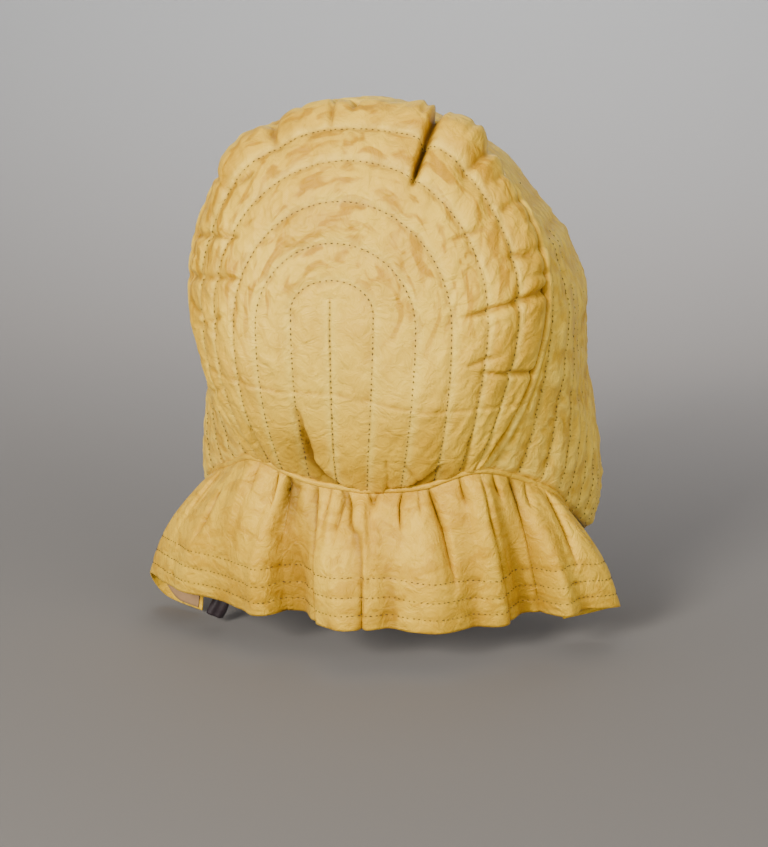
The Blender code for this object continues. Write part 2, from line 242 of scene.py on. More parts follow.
# height and size of the broad unevenness
CROWN_WAVE = (1.6 * MM, 38 * MM)
HEAD_WAVE = (0.9 * MM, 42 * MM)
# depth and width of the piecing seam, and height, place below it and width of the ridge along it
SEAM_GROOVE = (0.7 * MM, 0.9 * MM)
SEAM_RIDGE = (0.4 * MM, 2.4 * MM, 1.6 * MM)
# The quilt's foot is tucked under the piping, except at the tab of the crown's lower edge
TUCK_REACH = 6 * MM
TAB_CENTRE, TAB_HALF, TAB_FADE = -6 * MM, 7 * MM, 3 * MM
# Angle where the rim's lump runs into the headpiece, and over how many degrees
MERGE_ANGLE, MERGE_REACH = 132, 10
LEAST_WALL = 1.6 * MM

# Cloth simulation: growth, how firmly the cloth between stitches keeps its place, and frames
CROWN_GROWTH = (0.022, 0.05)
HEAD_GROWTH = 0.055
QUILT_FREE = 0.15
QUILT_FRAMES = 9
CURTAIN_GROWTH = 0.02
CURTAIN_FREE = 0.8
CURTAIN_FRAMES = 7

# Thread
STITCH_LENGTH = 1.35 * MM
STITCH_PITCH = 3.4 * MM
STITCH_RADIUS = 0.32 * MM
STITCH_LIFT = 0.25 * MM
HEM_ROWS = MM * np.array((9, 20, 31.5))

# The photo's camera
IMAGE = (768, 847)
FOCAL_PIXELS = 1800
CAMERA_PLACE = Vector((-0.2211, 1.0312, 0.043))
CAMERA_LOOK = Vector((0.2033, -0.9560, -0.2110))

# Floor and backdrop, in metres from under the origin
FLOOR_Z = -318 * MM
FLOOR_NEAR = -6.0
FLOOR_HALF_WIDTH = 9.0
BEND_START = 0.9
BEND_RADIUS = 0.7
BACKDROP_TOP = 3.0
TONE_HEIGHT = 0.8
FLOOR_TONE = (0.143, 0.132, 0.121)
BACKDROP_TONE = (0.335, 0.348, 0.355)

# Colours of the silk
SILK_DEEP = (0.55, 0.295, 0.010)
SILK_BASE = (0.67, 0.39, 0.019)
SILK_LIGHT = (0.75, 0.465, 0.029)
# cream, also used for the painted highlights on crests and beside the stitches
CREAM = (0.87, 0.625, 0.09)
STAIN = (0.46, 0.225, 0.002)
# painted shade for the hollows and folds
SHADE = (0.34, 0.165, 0.006)
# deep painted shade for creases, gathers and under the crown's overlapping edge
DEEP_SHADE = (0.10, 0.04, 0.006)


def smooth(rows, at):
    """The table at fractional row numbers, on a smooth curve through every row."""
    rows = np.asarray(rows, float)
    padded = np.concatenate([2 * rows[:1] - rows[1:2], rows, 2 * rows[-1:] - rows[-2:-1]])
    at = np.clip(np.asarray(at, float), 0, len(rows) - 1)
    i = np.minimum(at.astype(int), len(rows) - 2)
    t = (at - i)[..., None]
    a, b, c, d = (padded[i + k] for k in range(4))
    return b + 0.5 * t * (c - a + t * (2 * a - 5 * b + 4 * c - d + t * (3 * (b - c) + d - a)))


def ease(t):
    t = np.clip(t, 0, 1)
    return t * t * (3 - 2 * t)


def bump(distance, width):
    return np.exp(-((distance / width) ** 2))


def unit(vectors):
    return vectors / np.maximum(np.linalg.norm(vectors, axis=-1)[..., None], 1e-12)


def lengths(points):
    """Distance along a line of points, from its first one."""
    return np.concatenate([[0], np.cumsum(np.linalg.norm(np.diff(points, axis=0), axis=1))])


def evenly(points, count):
    along = lengths(points)
    at = np.linspace(0, along[-1], count)
    return np.stack([np.interp(at, along, points[:, k]) for k in range(points.shape[1])], axis=1)


LATTICE_SIZE = 40
LATTICE = np.random.default_rng(7).random((LATTICE_SIZE,) * 3) * 2 - 1


def noise(points, size, shift=0.0):
    """Smooth noise from -1 to 1 at points, with features about that size apart."""
    p = np.asarray(points, float) / size + shift
    cell = np.floor(p).astype(int)
    t = ease(p - cell)
    total = 0
    for dx in (0, 1):
        for dy in (0, 1):
            for dz in (0, 1):
                weight = 1
                for axis, step in enumerate((dx, dy, dz)):
                    weight = weight * (t[..., axis] if step else 1 - t[..., axis])
                corner = (cell + (dx, dy, dz)) % LATTICE_SIZE
                total = total + weight * LATTICE[corner[..., 0], corner[..., 1], corner[..., 2]]
    return total


def stack(*columns):
    return np.stack(np.broadcast_arrays(*columns), axis=-1)


def grid_normals(grid):
    return unit(np.cross(np.gradient(grid, axis=1), np.gradient(grid, axis=0)))


def outward(grid, axis):
    """A grid's normals, turned so that the one in the middle points along the axis."""
    normal = grid_normals(grid)
    return -normal if normal[len(normal) // 2, normal.shape[1] // 2, axis] < 0 else normal


def facing(grid, normal):
    """A grid's normals, each turned to the side of the one given for it."""
    found = grid_normals(grid)
    return found * np.sign((found * normal).sum(axis=-1))[..., None]


# Quilt

def padding(channel):
    """0 on a line of stitches and 1 in the middle of a channel, with a sharp valley at the stitches."""
    return np.abs(np.sin(np.pi * channel)) ** PUFF_SHAPE


def puckers(along, channel, seed):
    """Small wrinkles that run across the channels and start at the lines of stitches."""
    near_line = np.abs(np.sin(np.pi * channel))
    side = np.floor(channel + 0.5)
    place = stack(along, side * 31 * MM, channel * 4 * MM)
    fine = noise(place, FINE_PUCKER, seed)
    broad = noise(stack(along, channel * 7 * MM, 0), BROAD_PUCKER, seed + 3)
    slant = stack(along + channel * 9 * MM, channel * 8 * MM - along * 0.3, side * 17 * MM)
    crisp = (1 - np.abs(noise(slant, CRISP_PUCKER, seed + 7))) ** 5 - 0.2
    total = fine * (1 - near_line) ** 0.8 * near_line**0.3 * 1.6 + broad * near_line * 0.9
    return total + crisp * near_line**0.4 * 0.9


def neck_at(x):
    """(y, z) of the quilt's lower edge at an x behind the ears."""
    line = np.concatenate([NECK_RIGHT[2:0:-1], NECK_LEFT[:3]])
    at = np.interp(x, line[:, 0], np.arange(len(line)))
    return smooth(line, at)[..., 1:]


def crown_ring(arch, leg_steps, cap_steps):
    """One arch of the crown from its left foot on the neck edge, over the top, to its right foot."""
    half, centre, top, spring, left, right, depth = smooth(ARCHES, arch)
    legs = []
    for foot, side in ((left, 1), (right, -1)):
        foot_y, foot_z = neck_at(foot)
        height = np.linspace(0, 1, leg_steps + 1)[:-1]
        x = foot + (centre + side * half - foot) * (1 - (1 - height) ** 2)
        y = foot_y + (RIM_Y + depth - foot_y) * (1 - (1 - height) ** CROWN_FOOT_ROUNDING)
        legs.append(stack(x, y, foot_z + (spring - foot_z) * height))
    angle = np.linspace(0, math.pi, cap_steps + 1)
    cap = stack(centre + half * np.cos(angle), RIM_Y + depth, spring + (top - spring) * np.sin(angle))
    return np.concatenate([legs[0], cap, legs[1][::-1]])


CROWN_CHANNEL_WIDTH = 21 * MM
CROWN_CHANNEL_STEPS = 14
CROWN_LEG_STEPS = 70
CROWN_CAP_STEPS = 300


def crown_grid():
    """(points, channel, distance along) of the crown's middle surface, from the centre line to the rim."""
    arches = np.linspace(0.0, RIM_ARCH, RIM_ARCH * CROWN_CHANNEL_STEPS + 1)
    rings = [crown_ring(a, CROWN_LEG_STEPS, CROWN_CAP_STEPS) for a in arches]
    edge = rings[-1]
    for share in (0.5, 1.0):
        turned = edge.copy()
        turned[:, 1] = edge[:, 1] * (1 - share) + np.minimum(edge[:, 1], RIM_Y) * share
        rings.append(turned)
        arches = np.append(arches, RIM_ARCH)
    grid = np.array(rings)
    along = np.array([lengths(r) for r in grid])
    along -= along[:, [along.shape[1] // 2]]
    return grid, np.broadcast_to(arches[:, None], along.shape), along


def beside(points, x, z, end_x, end_z):
    """(share of a line's length, distance, signed distance) of each point beside it, seen from behind."""
    start, way = np.array((x, z)), np.array((end_x - x, end_z - z))
    flat = points[..., [0, 2]]
    share = np.clip(((flat - start) @ way) / (way @ way), 0, 1)
    gap = flat - start - share[..., None] * way
    away = np.linalg.norm(gap, axis=-1)
    return share, away, np.where(way[0] * gap[..., 1] > way[1] * gap[..., 0], away, -away)


def creases(points, table):
    """How deep each point lies in the creases of a table."""
    total = 0
    for *line, depth, width in table:
        share, away, _ = beside(points, *line)
        total = total + depth * bump(away, width * (1.15 - 0.6 * share)) * ease((1 - share) * 3 + 0.15)
    return total


def overlapped(points):
    """How far the crown lies back where its lower edge overlaps the band along the neck."""
    nearest = np.full(points.shape[:-1], 1.0)
    total = np.zeros(points.shape[:-1])
    for (x, z, depth), (end_x, end_z, end_depth) in zip(CROWN_EDGE[:-1], CROWN_EDGE[1:]):
        share, away, below = beside(points, x, z, end_x, end_z)
        sunk = ease((below + 0.3 * MM) / (1.3 * MM)) * np.exp(-np.maximum(below, 0) / EDGE_REACH)
        sunk = sunk * (depth + (end_depth - depth) * share)
        total = np.where(away < nearest, sunk, total)
        nearest = np.minimum(nearest, away)
    return total


def from_seam(points):
    """Height of each point over the seam that pieces the crown."""
    return points[..., 2] - np.interp(points[..., 0], PIECING_SEAM[::-1, 0], PIECING_SEAM[::-1, 1])


def tucked(along):
    """1 at both feet of a grid's lines, and 0 from a little above them."""
    from_foot = np.minimum(along - along[:, :1], along[:, -1:] - along)
    return 1 - ease(from_foot / TUCK_REACH)


def smooth_read(at, places, values):
    """Values at places read with eased steps between them."""
    at = np.clip(at, places[0], places[-1])
    i = np.clip(np.searchsorted(places, at) - 1, 0, len(places) - 2)
    share = ease((at - places[i]) / (places[i + 1] - places[i]))
    return values[i] + (values[i + 1] - values[i]) * share


def rim_gathers(angle, channels_in):
    """How deep the gathers of the crown's rim are at an angle of its arch, some channels in from the rim."""
    total = 0
    for at, depth, width, reach in RIM_NOTCHES:
        away = np.abs(angle - math.radians(at)) * RIM_RADIUS
        narrowing = 1.2 - 0.5 * np.clip(channels_in / reach, 0, 1)
        fade = ease(1.15 - channels_in / reach)
        total = total + depth * MM * bump(away, width * MM * narrowing) * fade
    return total


def arch_angle(points):
    """The angle of each point round the rim's centre from the left, carried on straight down the legs."""
    x, z = points[..., 0], points[..., 2] - RIM_CENTRE_Z
    below = np.where(x > 0, z / RIM_RADIUS, math.pi - z / RIM_RADIUS)
    return np.where(z > 0, np.arctan2(z, x), below)


def shaped_crown():
    """(outer surface, middle surface, its normals, channel, distance along) of the crown, still smooth."""
    base, channel, along = crown_grid()
    normal = outward(base, 1)
    outer = ease((channel - 1.5) / 3)
    lift = padding(channel) * (CROWN_PUFF + CROWN_RIM_PUFF * outer) * MM
    lift = lift + puckers(along, channel, 11) * (CROWN_PUCKER + CROWN_RIM_PUCKER * outer) * MM
    angle = arch_angle(base)
    fit = smooth_read(np.degrees(angle), CROWN_FIT[:, 0], CROWN_FIT[:, 1]) * MM
    lift = lift + fit * ease((channel - RIM_ARCH + 2) / 2)
    merged = ease((np.degrees(angle) - MERGE_ANGLE) / MERGE_REACH)
    lift = lift + ease(channel - RIM_ARCH + 1) * RIM_LUMP * ease((base[..., 2] + 0.16) / 0.06) * (1 - merged)
    lift = lift - rim_gathers(angle, RIM_ARCH - channel)
    height, size = CROWN_WAVE
    lift = lift + height * noise(base, size, 5) * ease((RIM_ARCH - channel) * 2)
    lift = lift - creases(base, CROWN_CREASES)
    over_seam = from_seam(base)
    depth, width = SEAM_GROOVE
    ridge, below, ridge_width = SEAM_RIDGE
    lift = lift - depth * bump(over_seam, width) + ridge * bump(over_seam + below, ridge_width)
    neck = ease((-178 * MM - base[..., 2]) / (22 * MM))
    lift = lift + neck * 0.5 * MM * noise(stack(base[..., 0], 0, base[..., 2] * 0.15), 5 * MM, 9)
    lift = lift - overlapped(base)
    off_tab = ease((np.abs(base[..., 0] - TAB_CENTRE) - TAB_HALF) / TAB_FADE)
    lift = lift - tucked(along) * off_tab * (np.maximum(lift, 0) + SEWN_DEPTH)
    return base + normal * (SEWN_DEPTH + lift)[..., None], base, normal, channel, along


HEAD_ROWS = 112
HEAD_COLUMNS = 360
CHANNEL_WIDTH = 20 * MM
RIM_ROLL = 6.5 * MM
RIM_ROLL_HEIGHT = 2.0 * MM


def head_section(y):
    """One upright section of the headpiece, from its left foot over the top to its right foot."""
    at = np.interp(-y, -HEAD_SECTIONS[:, 0], np.arange(len(HEAD_SECTIONS)))
    _, top, half, spring, belly = smooth(HEAD_SECTIONS, at)
    legs = []
    for neck, side in ((NECK_LEFT[2:], 1), (NECK_RIGHT[2:], -1)):
        foot_x, _, foot_z = smooth(neck, np.interp(-y, -neck[:, 1], np.arange(len(neck))))
        height = np.linspace(0, 1, 90)[:-1]
        x = foot_x + (side * half - foot_x) * (1 - (1 - height) ** 2)
        x += side * belly * BELLY_SHAPE * height * (1 - height) ** 2
        legs.append(stack(x, y, foot_z + (spring - foot_z) * height))
    angle = np.linspace(0, math.pi, 180)
    cap = stack(half * np.cos(angle), y, spring + (top - spring) * np.sin(angle))
    return evenly(np.concatenate([legs[0], cap, legs[1][::-1]]), HEAD_COLUMNS + 1)


def head_grid():
    """The headpiece's middle surface from the rim to the front edge: (points, channel, distance along, roll).

    The roll is how high the rolled edge beside the rim stands, up to 1, and -1 away from it.
    """
    grid = np.array([head_section(y) for y in np.linspace(RIM_Y, FRONT_Y, HEAD_ROWS + 1)])
    steps = np.linalg.norm(np.diff(grid, axis=0), axis=2)
    from_rim = np.concatenate([np.zeros((1, grid.shape[1])), np.cumsum(steps, axis=0)])
    from_front = from_rim[-1] - from_rim
    channel = from_front / CHANNEL_WIDTH
    in_roll = from_rim < RIM_ROLL
    roll = 0.5 - 0.5 * np.cos(2 * np.pi * from_rim / RIM_ROLL)
    along = np.array([lengths(r) for r in grid])
    along -= along[:, [along.shape[1] // 2]]
    return grid, channel, along, np.where(in_roll, roll, -1.0)


def shaped_head():
    """(outer surface, middle surface, its normals, channel, distance along) of the headpiece, smooth."""
    base, channel, along, roll = head_grid()
    normal = outward(base, 2)
    lift = padding(channel) * HEAD_PUFF * MM + puckers(along, channel, 51) * HEAD_PUCKER * MM
    lift = np.where(roll >= 0, np.sqrt(np.maximum(roll, 0)) * RIM_ROLL_HEIGHT, lift)
    height, size = HEAD_WAVE
    lift = lift + height * noise(base, size, 15)
    angle = np.degrees(arch_angle(base))
    forward = ease((RIM_Y - base[..., 1]) / (35 * MM))
    at_rim = smooth_read(angle, HEAD_FIT[:, 0], HEAD_FIT[:, 1])
    ahead = smooth_read(angle, HEAD_FIT[:, 0], HEAD_FIT[:, 2])
    lift = lift + (at_rim + (ahead - at_rim) * forward) * MM
    from_rim = (RIM_Y - base[..., 1]) / (9 * MM)
    lift = lift - 0.7 * rim_gathers(arch_angle(base), from_rim)
    lift = lift - tucked(along) * (np.maximum(lift, 0) + SEWN_DEPTH)
    return base + normal * (SEWN_DEPTH + lift)[..., None], base, normal, channel, along


# Curtain

def hem_line(hem, neck):
    """Points of the hem, each with the place on the neck edge that it hangs from."""
    fine = smooth(hem, np.linspace(0, len(hem) - 1, 500))
    above = smooth(neck, fine[:, 0] / MM)
    return np.concatenate([fine[:, 1:], above], axis=1)


CURTAIN_COLUMNS = 520
CURTAIN_ROWS = 56


def grooves(along, part):
    """How deep the curtain's folds and gathers are, all along it at one share of its drop."""
    total = 0
    for at_top, top, at_middle, middle, at_end, end, depth, left, right in CURTAIN_GROOVES:
        centre = np.interp(part, (top, middle, end), (at_top, at_middle, at_end)) * MM
        away = along - centre
        width = np.where(away > 0, left, right) * MM
        start = 1 if top < 0.03 else ease((part - top + 0.08) / 0.12)
        finish = 1 if end > 0.99 else ease((end - part) / (0.45 * (end - top)) + 0.1)
        grow = 0.75 + 0.25 * ease(part * 4)
        total = total + depth * MM * np.exp(-np.abs(away) / width) * start * finish * grow
    return total


def curtain_folds(along):
    """How far the curtain's broad folds stand out, all along it."""
    return sum(depth * bump(along - at, width) for at, depth, width in CURTAIN_FOLDS)


def shaped_curtain():
    """(middle surface, distance along the hem from the nape) of the curtain before the cloth settles."""
    left, right = hem_line(HEM_LEFT, NECK_LEFT), hem_line(HEM_RIGHT, NECK_RIGHT)
    left_length = lengths(left[:, :3])[-1]
    line = evenly(np.concatenate([right[::-1], left[1:]]), CURTAIN_COLUMNS + 1)
    hem, neck = line[:, :3], line[:, 3:]
    along = lengths(hem)
    along -= along[-1] - left_length
    out = np.gradient(hem[:, :2], axis=0)
    out = -unit(stack(out[:, 1], -out[:, 0], 0))
    fold = curtain_folds(along)
    ends = ease((along[-1] - along) / CURTAIN_END) * ease((along - along[0]) / CURTAIN_END)
    rows = []
    for part in np.linspace(0, 1, CURTAIN_ROWS + 1):
        spring = CURTAIN_SPRING * math.sin(math.pi * part) * ends
        gather = noise(stack(along, 0, part * 3 * MM), 6.5 * MM, 31) * (1 - part) ** 1.2
        gather = gather + 0.5 * noise(stack(along, 0, part * 12 * MM), 14 * MM, 37)
        move = fold * ease(part * 1.3) + spring + gather * ease(part * 7) * (0.4 + 0.6 * ends) * 2.6 * MM
        move = move - (1.35 * grooves(along, part) - 1.3 * MM) * ease(part * 11) * (0.3 + 0.7 * ends)
        rows.append(neck + (hem - neck) * part + out * move[:, None])
    return np.array(rows), along


# Meshes

def faces_of(rows, columns, flip=False, start=0):
    i = np.arange(rows * columns).reshape(rows, columns)
    quads = np.stack([i[:-1, :-1], i[:-1, 1:], i[1:, 1:], i[1:, :-1]], axis=-1).reshape(-1, 4)
    return (quads[:, ::-1] if flip else quads) + start


def make_mesh(name, points, faces, materials, face_material=None, attributes=None, uv=None):
    mesh = bpy.data.meshes.new(name)
    mesh.from_pydata(points.tolist(), [], faces.tolist())
    for material in materials:
        mesh.materials.append(material)
    if face_material is not None:
        mesh.polygons.foreach_set("material_index", np.asarray(face_material, np.int32))
    for key, values in (attributes or {}).items():
        mesh.attributes.new(key, "FLOAT", "POINT").data.foreach_set("value", np.asarray(values, np.float32))
    if uv is not None:
        layer = mesh.uv_layers.new(name="Cloth")
        corner = np.empty(len(mesh.loops), np.int32)
        mesh.loops.foreach_get("vertex_index", corner)
        layer.data.foreach_set("uv", np.asarray(uv, np.float32)[corner].reshape(-1))
    mesh.polygons.foreach_set("use_smooth", np.ones(len(mesh.polygons), bool))
    mesh.update()
    piece = bpy.data.objects.new(name, mesh)
    bpy.context.scene.collection.objects.link(piece)
    return piece


def wall(name, outer, inner, along, across, marks, silk, lining, flip=False):
    """A closed wall between an outer and an inner grid, silk outside and round the edges, lining inside."""
    rows, columns = outer.shape[:2]
    count = rows * columns
    points = np.concatenate([outer.reshape(-1, 3), inner.reshape(-1, 3)])
    front = faces_of(rows, columns, flip)
    back = faces_of(rows, columns, not flip, count)
    i = np.arange(count).reshape(rows, columns)
    edge = np.concatenate([i[0, :-1], i[:-1, -1], i[-1, :0:-1], i[:0:-1, 0]])
    after = np.roll(edge, -1)
    rim = np.stack([edge, edge + count, after + count, after], axis=1)
    if flip:
        rim = rim[:, ::-1]
    faces = np.concatenate([front, back, rim])
    which = np.concatenate([np.zeros(len(front)), np.ones(len(back)), np.zeros(len(rim))])
    uv = stack(along, across).reshape(-1, 2) / (100 * MM)
    kept = {}
    for key, value in marks.items():
        kept[key] = np.tile(np.broadcast_to(value, (rows, columns)).reshape(-1), 2)
    return make_mesh(name, points, faces, [silk, lining], which, kept, np.concatenate([uv, uv]))


def smoothed(values, steps):
    """A grid's values averaged over that many rows and columns to each side."""
    for axis in (0, 1):
        first, last = (np.take(values, [k], axis) for k in (0, -1))
        parts = [np.zeros_like(first), np.repeat(first, steps, axis), values, np.repeat(last, steps, axis)]
        total = np.cumsum(np.concatenate(parts, axis), axis)
        size = values.shape[axis]
        high = np.take(total, np.arange(2 * steps + 1, 2 * steps + 1 + size), axis)
        values = (high - np.take(total, np.arange(size), axis)) / (2 * steps + 1)
    return values


def hollows(points, normal, reach):
    """From -1 on a crest to 1 in a hollow, how each point lies in its surroundings, near and wide."""
    near = ((smoothed(points, reach) - points) * normal).sum(axis=-1) / (0.55 * MM)
    wide = ((smoothed(points, reach * 3) - points) * normal).sum(axis=-1) / (2.2 * MM)
    return np.clip(0.65 * near + 0.5 * wide, -1, 1)


def sewn(channel):
    """1 beside a line of stitches, a little more on its outer side, and 0 in the middle of a channel: where
    the painted highlight beside the stitches goes.
    """
    away = channel - np.round(channel) - 0.05
    return np.exp(-((away / np.where(away > 0, 0.13, 0.08)) ** 2))


def weights(piece, name, values):
    """A vertex group with a weight for each point."""
    group = piece.vertex_groups.new(name=name)
    flat = np.round(np.asarray(values, float).reshape(-1), 2)
    for weight in np.unique(flat):
        group.add(np.flatnonzero(flat == weight).tolist(), float(weight), "REPLACE")


def simulated(grid, hold, growth, frames, bending=0.3, pressure=0.5, most=4 * MM):
    """The grid simulated as cloth that is longer than its shape by growth, sewn down where hold is 1."""
    piece = make_mesh("cloth_start", grid.reshape(-1, 3), faces_of(*grid.shape[:2]), [])
    weights(piece, "hold", hold)
    most_growth = float(np.max(growth))
    weights(piece, "growth", np.broadcast_to(growth / most_growth, hold.shape))
    cloth = piece.modifiers.new("Cloth", "CLOTH")
    settings = cloth.settings
    settings.quality = 5
    settings.mass = 0.15
    settings.tension_stiffness = settings.compression_stiffness = 20
    settings.shear_stiffness = 8
    settings.bending_stiffness = bending
    settings.tension_damping = settings.compression_damping = settings.shear_damping = 10
    settings.air_damping = 3
    settings.vertex_group_mass = "hold"
    settings.vertex_group_shrink = "growth"
    settings.shrink_min = 0
    settings.shrink_max = -most_growth
    settings.effector_weights.gravity = 0
    settings.use_pressure = True
    settings.uniform_pressure_force = pressure
    cloth.collision_settings.use_collision = False
    for step in range(1, frames + 1):
        bpy.context.scene.frame_set(step)
    settled = piece.evaluated_get(bpy.context.evaluated_depsgraph_get())
    points = np.empty(grid.size)
    settled.to_mesh().vertices.foreach_get("co", points)
    bpy.data.objects.remove(piece)
    bpy.context.scene.frame_set(1)
    moved = points.reshape(grid.shape) - grid
    far = np.linalg.norm(moved, axis=-1)[..., None]
    return grid + moved * np.minimum(1, most / np.maximum(far, 1e-9))


# Stitches

def stitched(line):
    """The points of a line that the stitches go through."""
    along = lengths(line)
    places = np.arange(STITCH_PITCH / 2, along[-1], STITCH_PITCH)
    return np.unique(np.abs(along[None] - places[:, None]).argmin(axis=1))


def stitch(name, runs):
    """All the stitches of some lines as one piece. A run is (points, normals)."""
    sides, rings = 6, 5
    angle = np.linspace(0, 2 * math.pi, sides, endpoint=False)
    at = np.linspace(-1, 1, rings)
    swell = np.sqrt(np.maximum(1 - (at * 0.93) ** 2, 0)) * STITCH_RADIUS
    template = stack(
        at[:, None] * STITCH_LENGTH / 2,
        swell[:, None] * np.cos(angle),
        swell[:, None] * np.sin(angle) * 0.8 + (1 - at[:, None] ** 2) * 0.3 * MM - 0.15 * MM,
    ).reshape(-1, 3)
    ring = np.arange(sides)
    side_faces = [(r * sides + ring, r * sides + np.roll(ring, -1)) for r in range(rings)]
    quads = np.concatenate(
        [np.stack([a, b, d, c], axis=1) for (a, b), (c, d) in zip(side_faces[:-1], side_faces[1:])]
    )
    dice = np.random.default_rng(3)
    points, faces = [], []
    for line, normals in runs:
        for i in stitched(line):
            way = unit(line[min(i + 1, len(line) - 1)] - line[max(i - 1, 0)])
            up = unit(normals[i])
            way = unit(way + np.cross(up, way) * dice.uniform(-0.22, 0.22))
            across = unit(np.cross(up, way))
            up = np.cross(way, across)
            centre = line[i] + up * STITCH_LIFT + way * dice.uniform(-0.3, 0.3) * MM
            local = template * (dice.uniform(0.6, 1.2), dice.uniform(0.8, 1.1), 1)
            faces.append(quads + len(points) * len(template))
            points.append(centre + local[:, [0]] * way + local[:, [1]] * across + local[:, [2]] * up)
    settle(make_mesh(name, np.concatenate(points), np.concatenate(faces), [THREAD]), "thread")


# Materials

def nodes_of(name):
    material = bpy.data.materials.new(name)
    material.use_nodes = True
    tree = material.node_tree
    shader = tree.nodes["Principled BSDF"]

    def add(kind, **settings):
        node = tree.nodes.new(kind)
        for key, value in settings.items():
            if key in node.inputs:
                node.inputs[key].default_value = value
            else:
                setattr(node, key, value)
        return node

    def link(source, target):
        tree.links.new(source, target)

    return material, shader, add, link


def ramp(add, stops):
    node = add("ShaderNodeValToRGB")
    band = node.color_ramp
    while len(band.elements) < len(stops):
        band.elements.new(0.5)
    for element, (place, colour) in zip(band.elements, stops, strict=True):
        element.position = place
        element.color = (*colour, 1)
    return node


def mix(add, link, factor, first, second, blend="MIX"):
    node = add("ShaderNodeMix", data_type="RGBA", blend_type=blend)
    for socket, value in ((node.inputs[0], factor), (node.inputs[6], first), (node.inputs[7], second)):
        if isinstance(value, bpy.types.NodeSocket):
            link(value, socket)
        elif isinstance(value, tuple):
            socket.default_value = (*value, 1)
        else:
            socket.default_value = value
    return node.outputs[2]


def noise_texture(add, link, vector, **settings):
    node = add("ShaderNodeTexNoise", **settings)
    link(vector, node.inputs["Vector"])
    return node.outputs["Fac"]


def relief(add, link, height, strength, distance, under=None):
    """Normals bumped by a height, over those of another relief."""
    node = add("ShaderNodeBump", Strength=strength, Distance=distance)
    link(height, node.inputs["Height"])
    if under is not None:
        link(under, node.inputs["Normal"])
    return node.outputs["Normal"]


def silk_material(name):
    """Twilled silk satin, straw yellow, with rusty stains along the puckers, painted shade in its hollows,
    creases and folds, and painted highlights on its crests and beside the stitches.
    """
    material, shader, add, link = nodes_of(name)
    place = add("ShaderNodeTexCoord").outputs["Object"]
    uv = add("ShaderNodeUVMap", uv_map="Cloth").outputs["UV"]

    def mark(key):
        return add("ShaderNodeAttribute", attribute_name=key).outputs["Fac"]

    def maths(operation, *values, clamp=False):
        node = add("ShaderNodeMath", operation=operation, use_clamp=clamp)
        for socket, value in zip(node.inputs, values):
            if isinstance(value, bpy.types.NodeSocket):
                link(value, socket)
            else:
                socket.default_value = value
        return node.outputs[0]

    broad = noise_texture(add, link, place, Scale=26.0, Detail=5.0, Roughness=0.6)
    tones = ramp(add, ((0.3, SILK_DEEP), (0.46, SILK_BASE), (0.66, SILK_LIGHT)))
    link(broad, tones.inputs["Fac"])
    spread = add("ShaderNodeMapping")
    spread.inputs["Scale"].default_value = (6.5, 13.0, 1.0)
    link(uv, spread.inputs["Vector"])
    vector = spread.outputs["Vector"]
    streaks = noise_texture(add, link, vector, Scale=1.0, Detail=2.0, Roughness=0.45, Distortion=0.8)
    spots = ramp(add, ((0.495, (0, 0, 0)), (0.62, (1, 1, 1))))
    link(streaks, spots.inputs["Fac"])
    # the valley mark paints shade into hollows and folds, and below zero a painted highlight onto the crests
    valley = maths("MAXIMUM", mark("valley"), 0.0)
    crest = maths("MULTIPLY", mark("valley"), -0.5, clamp=True)
    worn = maths("MULTIPLY", spots.outputs["Color"], mark("stained"))
    worn = maths("MULTIPLY", worn, maths("MULTIPLY_ADD", valley, 0.45, 0.95))
    colour = tones.outputs["Color"]
    for share, over in (
        # paler in the crown's middle
        (maths("MULTIPLY", mark("paler_middle"), 0.25, clamp=True), CREAM),
        # painted highlight on the crests
        (crest, CREAM),
        (worn, STAIN),
        # painted highlight beside the stitches
        (maths("MULTIPLY", mark("sewn"), 0.5, clamp=True), CREAM),
        # painted shade in the hollows and folds
        (maths("MULTIPLY", valley, 0.75), SHADE),
        # deep painted shade in creases, gathers and under the overlapping edge
        (maths("MULTIPLY", mark("dark"), 0.8, clamp=True), DEEP_SHADE),
    ):
        colour = mix(add, link, share, colour, over)
    twill = add("ShaderNodeTexWave", Scale=80.0, Distortion=0.6, Detail=2.0)
    twill.wave_type, twill.bands_direction = "BANDS", "DIAGONAL"
    link(uv, twill.inputs["Vector"])
    lines = ramp(add, ((0.0, (0.88, 0.88, 0.88)), (1.0, (1.0, 1.0, 1.0))))
    link(twill.outputs["Fac"], lines.inputs["Fac"])
    link(mix(add, link, 1.0, colour, lines.outputs["Color"], "MULTIPLY"), shader.inputs["Base Color"])
    rough = add("ShaderNodeMapRange")
    rough.inputs["To Min"].default_value = 0.36
    rough.inputs["To Max"].default_value = 0.52
    link(broad, rough.inputs["Value"])
    link(rough.outputs[0], shader.inputs["Roughness"])
    weave = relief(add, link, twill.outputs["Fac"], 0.2, 0.0003)
    fine = noise_texture(add, link, place, Scale=900.0, Detail=3.0)
    slub = relief(add, link, fine, 0.12, 0.0003, weave)
    crush = noise_texture(add, link, place, Scale=110.0, Detail=5.0, Roughness=0.55, Distortion=1.0)
    link(relief(add, link, crush, 0.9, 0.0024, slub), shader.inputs["Normal"])
    shader.inputs["Sheen Weight"].default_value = 0.06
    shader.inputs["Sheen Roughness"].default_value = 0.4
    shader.inputs["Sheen Tint"].default_value = (1.0, 0.8, 0.4, 1)
    shader.inputs["Specular IOR Level"].default_value = 0.36
    shader.inputs["Specular Tint"].default_value = (1.0, 0.8, 0.45, 1)
    return material


